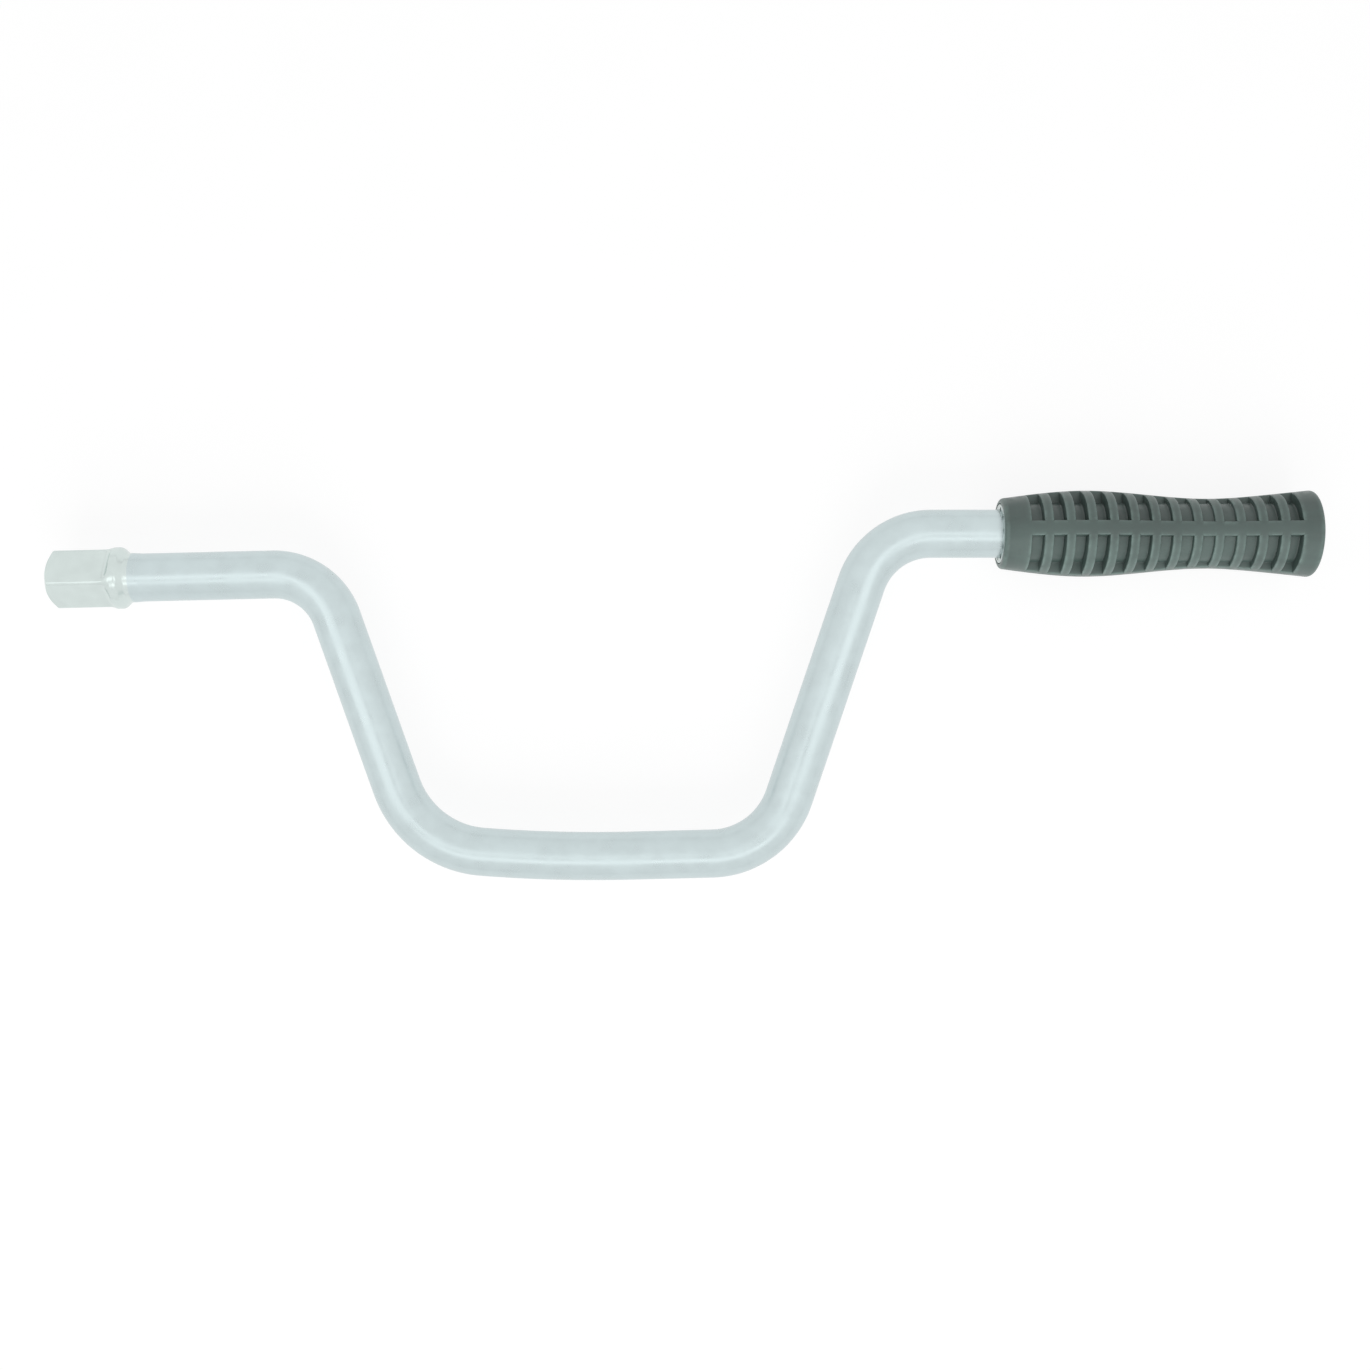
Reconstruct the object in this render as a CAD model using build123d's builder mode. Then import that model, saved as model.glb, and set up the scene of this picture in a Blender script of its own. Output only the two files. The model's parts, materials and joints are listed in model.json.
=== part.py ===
"""Crank handle: a bent round bar with a square drive head and a free-turning ribbed grip.

The crank lies in the XY plane. The drive axis is +X, from the square towards the grip, the throw of
the crank is towards -Y, and the origin is on the drive axis at the collar face that meets a socket.
All sizes are in millimetres.
"""

from build123d import *
import os
from math import asin, cos, degrees, radians, sin, sqrt

# ---- bent bar -------------------------------------------------------------------------------------
bar_diameter = 14.0

drive_run = 61.3  # collar face to the first corner
near_leg_lean = 27.4  # the leg beside the drive leans this far along X
near_leg_drop = 83.2
web_run = 100.8  # run across the bottom of the crank
web_fall = 1.6
far_leg_lean = 33.6  # the leg beside the grip
far_leg_rise = 92.6
grip_arm_run = 36.0  # last corner to the front of the grip
grip_tilt = -1.33  # the grip axis, in degrees from the drive axis

drive_bend_radius = 20.0  # bend radii on the bar's centre line
near_web_bend_radius = 26.5
far_web_bend_radius = 23.0
grip_bend_radius = 20.4

# ---- square drive and collar ----------------------------------------------------------------------
square_flats = 12.65  # 1/2 inch drive, across flats
square_corners = 16.5  # across the rounded corners
square_length = 17.5
square_turn = 35.0  # the first flat faces this far from +Z towards +Y
tip_diameter = 12.6  # flat end inside the turned lead-in
tip_taper = 1.5  # length of the turned lead-in
tip_round = 0.4  # eases both edges of the lead-in

collar_diameter = 18.0
collar_width = 5.1
collar_rise = 0.8  # length of the slope up to the collar
collar_foot_round = 0.5
collar_front_round = 0.7
collar_back_round = 1.9

scoop_radius = 3.0  # the flats run out into the collar in this radius
scoop_start = 2.4  # where that run-out begins, ahead of the collar face

# ---- detent ---------------------------------------------------------------------------------------
ball_diameter = 5.0
ball_proud = 0.9  # how far the ball stands out of its flat
ball_travel = 0.85  # how far it can be pressed in
ball_setback = 8.6  # ball centre to collar face
ball_flat = 2  # the flat that holds the ball, counted from the first
ball_clearance = 0.05
ball_lip_depth = 1.0  # the staked mouth that keeps the ball in
ball_lip_radius = 2.06
ball_hole_depth = 9.6
spring_wire = 0.6
spring_diameter = 4.0  # outside
spring_turns = 5
spring_clearance = 0.05

# ---- grip -----------------------------------------------------------------------------------------
grip_length = 91.0
grip_front_diameter = 20.8
grip_belly_diameter = 25.0
grip_belly_position = 24.5  # from the front face
grip_waist_diameter = 20.3
grip_waist_position = 60.0
grip_flare_diameter = 25.1
grip_flare_lead = 15.0  # where the flare starts to open out, ahead of the back
grip_flare_lead_diameter = 22.2
grip_front_edge = 1.5  # length of the eased front edge
grip_front_lip = 0.3  # flat left around the ring
grip_back_round = 1.1
grip_running_clearance = 0.06

slot_count = 13
slot_start = 6.5  # front face to the first slot
slot_width = 3.5
slot_pitch = 6.17
slot_core_diameter = 17.9
rib_width = 4.2
rib_turn = 9.4  # one rib lies this far from +Z towards +Y

# ---- pieces that hold the grip on the bar ---------------------------------------------------------
ring_diameter = 17.2  # push-on ring at the front of the grip
ring_thickness = 1.0
ring_teeth = 10
ring_notch_width = 1.5
ring_notch_depth = 0.8
ring_bite = 0.02  # clearance left between the ring and the bar
ring_clearance = 0.25

end_play = 0.2  # axial play of the grip, at each end
washer_diameter = 19.6
washer_thickness = 1.0
washer_clearance = 0.1

clip_thickness = 1.0
clip_section = 1.7  # widest radial section, opposite its gap
clip_taper = 0.25  # the section narrows towards the gap by this offset
clip_gap = 42.0  # in degrees
clip_lug_radius = 1.25
clip_eye_radius = 0.6
clip_clearance = 0.02
groove_depth = 0.35
groove_play = 0.1
bar_tail = 0.8  # bar left beyond the groove
bar_end_chamfer = 0.5

pocket_diameter = 20.6  # room for the washer and the clip
pocket_depth = 4.0
plug_diameter = 22.0
plug_thickness = 1.5
plug_inset = 0.3  # the plug sits this far inside the back edge
plug_clearance = 0.05
plug_edge = 0.3

# ---- worked out from the sizes above --------------------------------------------------------------
bar_radius = bar_diameter / 2
collar_radius = collar_diameter / 2

corner_1 = Vector(drive_run, 0)
corner_2 = corner_1 + Vector(near_leg_lean, -near_leg_drop)
corner_3 = corner_2 + Vector(web_run, -web_fall)
corner_4 = corner_3 + Vector(far_leg_lean, far_leg_rise)
grip_direction = Vector(cos(radians(grip_tilt)), sin(radians(grip_tilt)))
grip_front = corner_4 + grip_direction * grip_arm_run

grip_section = Plane(origin=grip_front, x_dir=grip_direction, z_dir=(0, 0, 1))  # along the grip axis
grip_cross = Plane(origin=grip_front, x_dir=(0, 0, 1), z_dir=grip_direction)  # square to it
grip_axis = Axis(grip_front, grip_direction)

plug_seat = grip_length - plug_inset - plug_thickness
pocket_floor = plug_seat - pocket_depth
washer_front = pocket_floor + end_play
groove_front = washer_front + washer_thickness
groove_back = groove_front + clip_thickness + groove_play
groove_radius = bar_radius - groove_depth
bar_length_in_grip = groove_back + bar_tail
recess_depth = ring_thickness + end_play
recess_radius = ring_diameter / 2 + ring_clearance

clip_lug_reach = groove_radius + clip_section  # lug centres from the axis
clip_lug_turn = degrees(asin(clip_lug_radius / clip_lug_reach))


def flat_angle(index):
    """Direction of one flat of the square, in degrees from +Z towards +Y."""
    return square_turn + 90 * index


def side_plane(angle, along=0.0):
    """Plane on the drive axis: local X is the axis, local Y points out at an angle from +Z towards +Y."""
    outward = Vector(0, sin(radians(angle)), cos(radians(angle)))
    return Plane(origin=(along, 0, 0), x_dir=(1, 0, 0), z_dir=Vector(1, 0, 0).cross(outward))


half_flats = square_flats / 2
ball_plane = side_plane(flat_angle(ball_flat), along=-ball_setback)
ball_axis = Axis(ball_plane.origin, ball_plane.y_dir)
ball_height = half_flats + ball_proud - ball_diameter / 2
ball_hole_radius = ball_diameter / 2 + ball_clearance
ball_hole_floor = half_flats - ball_hole_depth

# the spring ends where the ball meets it when pressed right in
spring_mean_radius = (spring_diameter - spring_wire) / 2
spring_reach = (ball_diameter + spring_wire) / 2 + spring_clearance
spring_top = ball_height - ball_travel - sqrt(spring_reach**2 - spring_mean_radius**2)
spring_foot = ball_hole_floor + spring_wire / 2 + spring_clearance

os.makedirs("parts", exist_ok=True)

# ---- crank bar: one forging -----------------------------------------------------------------------
with BuildPart() as crank_bar:
    # turned blank of the drive head and its collar
    with BuildSketch(Plane.XY):
        with BuildLine():
            FilletPolyline(
                (-square_length, 0),
                (-square_length, tip_diameter / 2),
                (tip_taper - square_length, square_corners / 2),
                (-collar_rise, square_corners / 2),
                (0, collar_radius),
                (collar_width, collar_radius),
                (collar_width, 0),
                radius=(tip_round, tip_round, collar_foot_round, collar_front_round, collar_back_round),
            )
            Line((collar_width, 0), (-square_length, 0))
        make_face()
    revolve(axis=Axis.X)

    # four flats, each run out into the collar in a scoop
    for index in range(4):
        with BuildSketch(side_plane(flat_angle(index))):
            with BuildLine():
                scoop = JernArc(
                    start=(-scoop_start, half_flats),
                    tangent=(1, 0),
                    radius=scoop_radius,
                    arc_size=90,
                )
                Polyline(
                    scoop @ 1,
                    ((scoop @ 1).X, square_corners),
                    (-2 * square_length, square_corners),
                    (-2 * square_length, half_flats),
                    scoop @ 0,
                )
            make_face()
        extrude(amount=square_corners, both=True, mode=Mode.SUBTRACT)

    # blind hole for the detent ball, its mouth staked in around the ball
    with BuildSketch(ball_plane):
        with BuildLine():
            Polyline(
                (0, ball_hole_floor),
                (ball_hole_radius, ball_hole_floor),
                (ball_hole_radius, half_flats - ball_lip_depth),
                (ball_lip_radius, half_flats),
                (ball_lip_radius, square_corners),
                (0, square_corners),
                close=True,
            )
        make_face()
    revolve(axis=ball_axis, mode=Mode.SUBTRACT)

    # round bar through the four bends to its end inside the grip
    with BuildLine() as bar_route:
        FilletPolyline(
            (collar_width / 2, 0),
            corner_1,
            corner_2,
            corner_3,
            corner_4,
            grip_front + grip_direction * bar_length_in_grip,
            radius=(drive_bend_radius, near_web_bend_radius, far_web_bend_radius, grip_bend_radius),
        )
    with BuildSketch(Plane.YZ.offset(collar_width / 2)):
        Circle(bar_radius)
    sweep(path=bar_route.wire())
    chamfer(crank_bar.faces().sort_by(grip_axis)[-1].edges(), length=bar_end_chamfer)

    # groove for the retaining clip
    with BuildSketch(grip_cross.offset(groove_front)):
        Circle(bar_diameter)
        Circle(groove_radius, mode=Mode.SUBTRACT)
    extrude(amount=groove_back - groove_front, mode=Mode.SUBTRACT)

crank_bar.part.label = "crank_bar"
export_step(crank_bar.part, "parts/crank_bar.step")

# ---- detent ball and its spring -------------------------------------------------------------------
with BuildPart() as detent_ball:
    with Locations(ball_plane.from_local_coords((0, ball_height))):
        Sphere(ball_diameter / 2)

detent_ball.part.label = "detent_ball"
export_step(detent_ball.part, "parts/detent_ball.step")

with BuildPart() as detent_spring:
    with BuildLine() as coil:
        Helix(
            pitch=(spring_top - spring_foot) / spring_turns,
            height=spring_top - spring_foot,
            radius=spring_mean_radius,
            center=ball_plane.from_local_coords((0, spring_foot)),
            direction=ball_axis.direction,
        )
    with BuildSketch(Plane(origin=coil.line @ 0, z_dir=coil.line % 0)):
        Circle(spring_wire / 2)
    sweep(path=coil.wire(), is_frenet=True)

detent_spring.part.label = "detent_spring"
export_step(detent_spring.part, "parts/detent_spring.step")

# ---- grip: one moulding ---------------------------------------------------------------------------
with BuildPart() as grip:
    # turned form, with the ring recess in front, the bore, and the clip pocket and plug seat behind
    with BuildSketch(grip_section):
        with BuildLine():
            Bezier(
                (0, recess_radius + grip_front_lip),
                (0, grip_front_diameter / 2),
                (grip_front_edge, grip_front_diameter / 2),
            )
            Spline(
                (grip_front_edge, grip_front_diameter / 2),
                (grip_belly_position, grip_belly_diameter / 2),
                (grip_waist_position, grip_waist_diameter / 2),
                (grip_length - grip_flare_lead, grip_flare_lead_diameter / 2),
                (grip_length - grip_back_round, grip_flare_diameter / 2),
            )
            Bezier(
                (grip_length - grip_back_round, grip_flare_diameter / 2),
                (grip_length, grip_flare_diameter / 2),
                (grip_length, grip_flare_diameter / 2 - grip_back_round),
            )
            Polyline(
                (grip_length, grip_flare_diameter / 2 - grip_back_round),
                (grip_length, plug_diameter / 2),
                (plug_seat, plug_diameter / 2),
                (plug_seat, pocket_diameter / 2),
                (pocket_floor, pocket_diameter / 2),
                (pocket_floor, bar_radius + grip_running_clearance),
                (recess_depth, bar_radius + grip_running_clearance),
                (recess_depth, recess_radius),
                (0, recess_radius),
                (0, recess_radius + grip_front_lip),
            )
        make_face()
    revolve(axis=grip_axis)

    # rings of slots down to the core, parted by four straight ribs
    with BuildSketch(*[grip_cross.offset(slot_start + row * slot_pitch) for row in range(slot_count)]):
        Circle(grip_flare_diameter)
        Circle(slot_core_diameter / 2, mode=Mode.SUBTRACT)
        for turn in (0, 90):
            Rectangle(rib_width, 2 * grip_flare_diameter, rotation=turn - rib_turn, mode=Mode.SUBTRACT)
    extrude(amount=slot_width, mode=Mode.SUBTRACT)

grip.part.label = "grip"
export_step(grip.part, "parts/grip.step")

# ---- push-on ring in front of the grip ------------------------------------------------------------
with BuildPart() as front_retaining_ring:
    with BuildSketch(grip_cross):
        Circle(ring_diameter / 2)
        Circle(bar_radius + ring_bite, mode=Mode.SUBTRACT)
        with PolarLocations(bar_radius, ring_teeth):
            Rectangle(2 * ring_notch_depth, ring_notch_width, mode=Mode.SUBTRACT)
    extrude(amount=ring_thickness)

front_retaining_ring.part.label = "front_retaining_ring"
export_step(front_retaining_ring.part, "parts/front_retaining_ring.step")

# ---- washer and clip at the bar's end -------------------------------------------------------------
with BuildPart() as thrust_washer:
    with BuildSketch(grip_cross.offset(washer_front)):
        Circle(washer_diameter / 2)
        Circle(bar_radius + washer_clearance, mode=Mode.SUBTRACT)
    extrude(amount=washer_thickness)

thrust_washer.part.label = "thrust_washer"
export_step(thrust_washer.part, "parts/thrust_washer.step")

with BuildPart() as retaining_clip:
    with BuildSketch(grip_cross.offset(groove_front)):
        with Locations((-clip_taper, 0)):
            Circle(groove_radius + clip_section - clip_taper)
        with BuildLine():
            gap_corners = [
                (bar_diameter * cos(radians(side * clip_gap / 2)), bar_diameter * sin(radians(side * clip_gap / 2)))
                for side in (-1, 1)
            ]
            Polyline((0, 0), *gap_corners, close=True)
        make_face(mode=Mode.SUBTRACT)
        with PolarLocations(clip_lug_reach, 2, start_angle=clip_gap / 2 + clip_lug_turn,
                            angular_range=360 - clip_gap - 2 * clip_lug_turn, endpoint=True):
            Circle(clip_lug_radius)
            Circle(clip_eye_radius, mode=Mode.SUBTRACT)
        Circle(groove_radius + clip_clearance, mode=Mode.SUBTRACT)
    extrude(amount=clip_thickness)

retaining_clip.part.label = "retaining_clip"
export_step(retaining_clip.part, "parts/retaining_clip.step")

# ---- plug that closes the back of the grip --------------------------------------------------------
with BuildPart() as end_plug:
    with BuildSketch(grip_cross.offset(plug_seat)):
        Circle(plug_diameter / 2 - plug_clearance)
    extrude(amount=plug_thickness)
    chamfer(end_plug.faces().sort_by(grip_axis)[-1].edges(), length=plug_edge)

end_plug.part.label = "end_plug"
export_step(end_plug.part, "parts/end_plug.step")
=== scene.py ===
"""Crank handle: surfaces and finishes built round the packed frame.

The file is laid out as an add-on and is run as a script. Each operator builds one piece or group of
like pieces in the frame's own metres, and main() calls them in order.
"""

import json
from math import atan2, cos, degrees, pi, radians, sin, sqrt, tan

import bmesh
import bpy
import numpy as np
from bpy.props import FloatProperty, FloatVectorProperty, IntProperty, PointerProperty
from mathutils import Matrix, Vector


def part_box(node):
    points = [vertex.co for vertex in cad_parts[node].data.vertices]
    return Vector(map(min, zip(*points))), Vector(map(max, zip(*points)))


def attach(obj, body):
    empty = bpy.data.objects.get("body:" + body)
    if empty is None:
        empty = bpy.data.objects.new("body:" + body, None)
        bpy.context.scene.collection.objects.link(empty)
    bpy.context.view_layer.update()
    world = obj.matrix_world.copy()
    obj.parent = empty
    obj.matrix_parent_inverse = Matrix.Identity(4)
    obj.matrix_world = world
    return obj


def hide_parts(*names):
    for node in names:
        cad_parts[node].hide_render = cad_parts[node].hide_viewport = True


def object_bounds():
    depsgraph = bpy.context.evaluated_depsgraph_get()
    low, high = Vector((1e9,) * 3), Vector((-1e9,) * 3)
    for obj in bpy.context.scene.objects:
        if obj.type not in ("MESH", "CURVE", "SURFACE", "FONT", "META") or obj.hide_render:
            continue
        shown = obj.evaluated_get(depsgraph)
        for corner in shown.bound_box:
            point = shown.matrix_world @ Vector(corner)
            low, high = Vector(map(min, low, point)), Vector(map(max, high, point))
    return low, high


bl_info = {
    "name": "Crank Handle",
    "version": (1, 0, 0),
    "blender": (4, 5, 0),
    "location": "View3D > Sidebar > Crank Handle",
    "description": "Builds a bent-bar crank handle with a square drive and a free-turning ribbed grip",
    "category": "Add Mesh",
}

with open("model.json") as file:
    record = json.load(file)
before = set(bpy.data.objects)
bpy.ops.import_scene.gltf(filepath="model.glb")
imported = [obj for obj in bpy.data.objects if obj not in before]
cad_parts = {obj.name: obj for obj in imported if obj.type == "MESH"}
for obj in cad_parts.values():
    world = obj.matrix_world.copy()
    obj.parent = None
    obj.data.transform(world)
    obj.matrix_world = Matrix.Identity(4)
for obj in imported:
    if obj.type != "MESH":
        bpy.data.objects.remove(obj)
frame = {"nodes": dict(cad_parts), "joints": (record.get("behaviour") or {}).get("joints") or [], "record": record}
CAD_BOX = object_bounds()

JOINTS = {joint["name"]: joint for joint in frame["joints"]}
MOUNTS = {mount["name"]: mount for mount in frame["record"]["mounts"]}
UP = np.array((0.0, 0.0, 1.0))
GRIP_FRONT = np.array(JOINTS["grip_spin"]["pos_m"], float)
GRIP_DIRECTION = np.array(JOINTS["grip_spin"]["axis"], float)
PRESS_DIRECTION = np.array(JOINTS["detent_press"]["axis"], float)
BALL_LOW, BALL_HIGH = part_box("detent_ball")
BALL_CENTRE = np.array((BALL_LOW + BALL_HIGH) / 2)
MIX_FIRST, MIX_SECOND, MIX_RESULT = 6, 7, 2  # colour sockets of a Mix node
EVEN = (1, 1, 1)  # noise that isn't stretched
AXIS_START = 0.0001  # radius at which an outline leaves its axis
SENSOR = 36.0  # camera sensor width in millimetres


def length(name, description, default, **extra):
    """A size in metres."""
    return FloatProperty(
        name=name, description=description, default=default, min=0.0, unit="LENGTH", precision=5, **extra
    )


def angle(name, description, default):
    """An angle in radians, shown in degrees."""
    return FloatProperty(
        name=name, description=description, default=default, subtype="ANGLE", unit="ROTATION"
    )


def colour(name, description, default):
    """A linear colour."""
    return FloatVectorProperty(
        name=name, description=description, default=default, size=3, min=0.0, max=1.0, subtype="COLOR"
    )


def share(name, description, default):
    """A number from 0 to 1."""
    return FloatProperty(
        name=name, description=description, default=default, min=0.0, max=1.0, subtype="FACTOR"
    )


def place_along(name, description, default):
    """A place in metres, on either side of the origin."""
    return FloatProperty(name=name, description=description, default=default, unit="LENGTH")


# ---- sizes and finishes a user can change ---------------------------------------------------------
class CrankBarSizes(bpy.types.PropertyGroup):
    """Round bar and its four bends"""

    diameter: length("Bar diameter", "Thickness of the round bar", 0.014)
    drive_run: length("Drive run", "Collar face to the first corner", 0.06088)
    near_leg_lean: length("Near leg lean", "How far the leg beside the drive leans along the axis", 0.02663)
    near_leg_drop: length("Near leg drop", "How far that leg drops", 0.08058)
    web_run: length("Web run", "Run across the bottom of the crank", 0.10269)
    web_fall: length("Web fall", "How far the bottom run falls away towards the grip", 0.0038)
    web_bow: length("Web bow", "How far the bottom run bows outwards", 0.0024)
    web_bow_at: share("Web bow position", "Where it bows most, as a share of the run", 0.405)
    web_bow_radius: length("Web bow radius", "Radius of that bow on the centre line", 0.42)
    drive_bend: length("Drive bend", "Radius of the first bend on the centre line", 0.0192)
    near_web_bend: length("Near web bend", "Radius of the second bend", 0.0289)
    far_web_bend: length("Far web bend", "Radius of the third bend", 0.0242)
    grip_bend: length("Grip bend", "Radius of the last bend", 0.0214)
    grip_arm: length("Grip arm", "Last corner to the front of the grip", 0.0353)
    tail_in_grip: length("Tail in grip", "Bar inside the grip", 0.0883)
    groove_back: length("Groove back", "Bar end to the back of the clip groove", 0.0008)
    groove_width: length("Groove width", "Width of the clip groove", 0.0011)
    groove_depth: length("Groove depth", "Depth of the clip groove", 0.00035)
    end_chamfer: length("End chamfer", "Chamfer on the bar's end", 0.0005)


class DriveHeadSizes(bpy.types.PropertyGroup):
    """Square drive and collar"""

    flats: length("Across flats", "Square across its flats", 0.01265)
    corners: length("Across corners", "Square across its rounded corners", 0.0169)
    reach: length("Square length", "Collar face to the tip", -MOUNTS["drive_end_face"]["pos_m"][0])
    turn: angle("Square turn", "Direction of the first flat, from up towards the side", radians(34))
    tip_diameter: length("Tip diameter", "Flat end inside the lead-in", 0.0127)
    tip_taper: length("Lead-in", "Length of the turned lead-in", 0.0011)
    tip_round: length("Lead-in round", "Eases the edges of the lead-in", 0.0004)
    collar_diameter: length("Collar diameter", "Across the collar", 0.018)
    collar_lead: length("Collar lead", "Where the collar starts to rise, ahead of its face", 0.0008)
    collar_crest: length("Collar crest", "Collar face to the thickest part", 0.0016)
    crest_width: length("Crest width", "Along the drive axis", 0.0018)
    collar_back: length("Collar back", "Collar face to the foot of its back", 0.0053)
    collar_round: length("Collar round", "Softness of the collar's edges", 0.0016)
    flare: length("Flare", "How much thicker the bar is where it leaves the collar", 0.00025)
    flare_end: length("Flare end", "Collar face to where the bar is round and true", 0.0095)
    bright_end: length("Bright end", "Collar face to where the bright chrome ends", 0.0064)
    scoop: length("Scoop radius", "Radius in which the flats run out into the collar", 0.003)
    scoop_start: length("Scoop start", "Where that run-out begins, ahead of the collar face", 0.0015)
    edge: length("Edge round", "Softness of the forged edges", 0.00045)
    hole_lip: length("Hole lip radius", "Staked mouth of the ball hole", 0.00206)
    hole_lip_depth: length("Hole lip depth", "Depth of that mouth", 0.001)
    hole_radius: length("Hole radius", "Ball hole", 0.00255)
    hole_depth: length("Hole depth", "Ball hole, below its flat", 0.0096)
    ball_radius: length("Ball radius", "Detent ball", (BALL_HIGH.x - BALL_LOW.x) / 2)


class GripSizes(bpy.types.PropertyGroup):
    """Slotted grip"""

    span: length("Grip length", "Front face to back edge", 0.0908)
    front: length("Front diameter", "Across the front band", 0.0208)
    belly: length("Belly diameter", "Thickest part near the front", 0.025)
    belly_at: length("Belly position", "From the front face", 0.0245)
    waist: length("Waist diameter", "Thinnest part", 0.0203)
    waist_at: length("Waist position", "From the front face", 0.060)
    flare: length("Flare diameter", "Across the back band", 0.0251)
    flare_lead: length("Flare lead", "Where the flare starts to open, ahead of the back", 0.015)
    flare_lead_diameter: length("Flare lead diameter", "Thickness there", 0.0222)
    front_edge: length("Front edge", "Length of the eased front edge", 0.0015)
    front_lip: length("Front lip", "Flat left round the ring", 0.0003)
    back_round: length("Back round", "Round on the back edge", 0.0011)
    bore: length("Bore radius", "Runs on the bar", 0.00706)
    recess: length("Recess radius", "Room for the front ring", 0.00885)
    recess_depth: length("Recess depth", "Room for the front ring", 0.0012)
    pocket: length("Pocket radius", "Room for the washer and clip", 0.0103)
    pocket_floor: length("Pocket floor", "From the front face", 0.0852)
    plug_seat: length("Plug seat", "From the front face", 0.0892)
    plug_radius: length("Plug radius", "Seat of the plug", 0.011)
    slots: IntProperty(name="Slot rows", description="Rows of slots along the grip", default=13, min=1)
    slot_start: length("Slot start", "Front face to the first row", 0.0075)
    slot_width: length("Slot width", "Along the grip", 0.0035)
    slot_pitch: length("Slot pitch", "Row to row", 0.00614)
    core: length("Core diameter", "Floor of the slots", 0.0179)
    ribs: IntProperty(name="Ribs", description="Straight ribs between the slots", default=4, min=2)
    rib_width: length("Rib width", "Across a straight rib", 0.0042)
    rib_turn: angle("Rib turn", "Direction of one rib, from up towards the side", radians(3.7))
    edge: length("Slot edge round", "Round on the upper edge of the slots", 0.00042)
    floor_round: length("Slot floor round", "Round at the foot of the slot walls", 0.0003)


class RetainerSizes(bpy.types.PropertyGroup):
    """Front ring and back plug"""

    ring: length("Ring diameter", "Push-on ring in front of the grip", 0.0172)
    ring_thickness: length("Ring thickness", "Along the bar", 0.001)
    ring_bite: length("Ring bite", "Clearance left between the ring and the bar", 0.00002)
    ring_teeth: IntProperty(name="Ring teeth", description="Teeth that bite the bar", default=10, min=3)
    notch_width: length("Notch width", "Between two teeth", 0.0015)
    notch_depth: length("Notch depth", "Between two teeth", 0.0008)
    ring_edge: length("Ring edge", "Round on the ring's edges", 0.00015)
    plug_clearance: length("Plug clearance", "Round the plug", 0.00005)
    plug_thickness: length("Plug thickness", "Along the grip", 0.0015)
    plug_edge: length("Plug edge", "Round on the plug's outer edge", 0.0003)


class CrankFinishes(bpy.types.PropertyGroup):
    """Colours and gloss"""

    bar_tint: colour("Bar tint", "Satin chrome on the bar", (0.62, 0.71, 0.72))
    bar_roughness: share("Bar roughness", "Satin chrome on the bar", 0.32)
    head_tint: colour("Head tint", "Bright chrome on the drive head", (0.68, 0.76, 0.74))
    head_roughness: share("Head roughness", "Bright chrome on the drive head", 0.22)
    grip_tint: colour("Grip tint", "Moulded plastic", (0.064, 0.098, 0.088))
    grip_roughness: share("Grip roughness", "Moulded plastic", 0.38)
    ring_tint: colour("Ring tint", "Plated ring", (0.56, 0.62, 0.60))
    inner_tint: colour("Inner steel tint", "Washer, clip and spring", (0.42, 0.43, 0.45))


class StudioSettings(bpy.types.PropertyGroup):
    """Camera, floor and light"""

    lens_height: length("Camera height", "Above the bar's plane", 0.4818)
    lens_side: place_along("Camera side", "Along the drive axis", 0.1664)
    lens_throw: place_along("Camera throw", "Across the drive axis", -0.03505)
    lens_roll: angle("Camera roll", "Turn of the picture", radians(-1.33))
    focal: FloatProperty(name="Focal length", description="In millimetres on a 36 mm sensor", default=43.36)
    floor_tone: share("Floor tone", "Pale floor", 0.92)
    world_level: FloatProperty(
        name="Surround level", description="Light from all round", default=0.50, min=0.0
    )


SETTINGS = {
    "crank_bar_sizes": CrankBarSizes,
    "crank_head_sizes": DriveHeadSizes,
    "crank_grip_sizes": GripSizes,
    "crank_retainer_sizes": RetainerSizes,
    "crank_finishes": CrankFinishes,
    "crank_studio": StudioSettings,
}


# ---- outlines -------------------------------------------------------------------------------------
def rounded(points, radii, steps=8):
    """Points and headings along the corners, with an arc of its own radius at each inner corner."""
    points = [np.array(point, float) for point in points]
    along = [points[0]]
    headings = [(points[1] - points[0]) / np.linalg.norm(points[1] - points[0])]
    for before, corner, after, radius in zip(points, points[1:], points[2:], radii):
        into = (corner - before) / np.linalg.norm(corner - before)
        out = (after - corner) / np.linalg.norm(after - corner)
        turn = atan2(into[0] * out[1] - into[1] * out[0], float(into @ out))
        normal = np.array((-into[1], into[0])) * np.sign(turn)
        centre = corner - into * radius * tan(abs(turn) / 2) + normal * radius
        for step in range(steps + 1):
            swing = turn * step / steps
            spin = np.array(((cos(swing), -sin(swing)), (sin(swing), cos(swing))))
            along.append(centre - spin @ normal * radius)
            headings.append(spin @ into)
    along.append(points[-1])
    headings.append((points[-1] - points[-2]) / np.linalg.norm(points[-1] - points[-2]))
    return np.array(along), np.array(headings)


def subdivided(outline, longest):
    """The same outline with no step longer than longest."""
    dense = [outline[0]]
    for start, end in zip(outline, outline[1:]):
        count = max(1, int(np.ceil(np.linalg.norm(end - start) / longest)))
        dense.extend(start + (end - start) * (step + 1) / count for step in range(count))
    return np.array(dense)


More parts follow.
